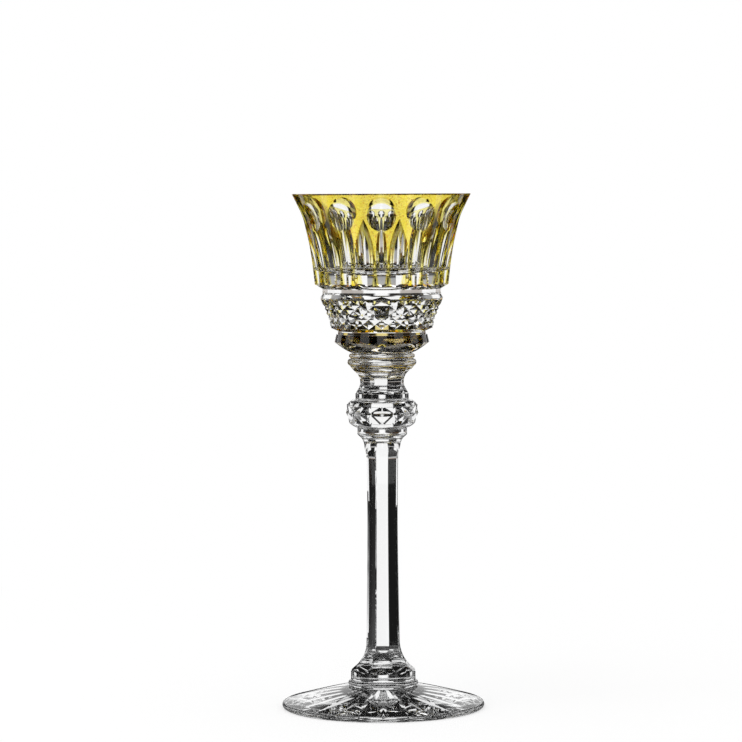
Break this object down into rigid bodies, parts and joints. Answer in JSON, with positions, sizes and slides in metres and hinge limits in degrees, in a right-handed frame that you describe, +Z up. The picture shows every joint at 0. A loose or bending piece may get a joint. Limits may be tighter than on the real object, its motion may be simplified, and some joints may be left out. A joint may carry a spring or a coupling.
{
  "type": "cordial glass",
  "caption": "Stemmed cordial glass in cased cut crystal: flared coloured bowl, diamond-cut band, knopped and panelled stem, star-cut foot.",
  "frame": {"origin": "on the glass's axis, in the plane that the foot rests on", "axes": "+Z up along the axis from foot to rim, front of the cut pattern towards -Y"},
  "size_m": [0.067, 0.067, 0.17],
  "materials": {
    "crystal": "polished",
    "yellow_overlay": "polished"
  },
  "bodies": {
    "root": {"foot": "crystal", "foot_collar": "crystal", "stem_shaft": "crystal", "stem_collar": "crystal", "diamond_knop": "crystal", "baluster": "crystal", "merese": "crystal", "bowl_boss": "crystal", "base_casing": "yellow_overlay", "bowl_lining": "crystal", "colour_casing": "yellow_overlay"}
  },
  "joints": []
}
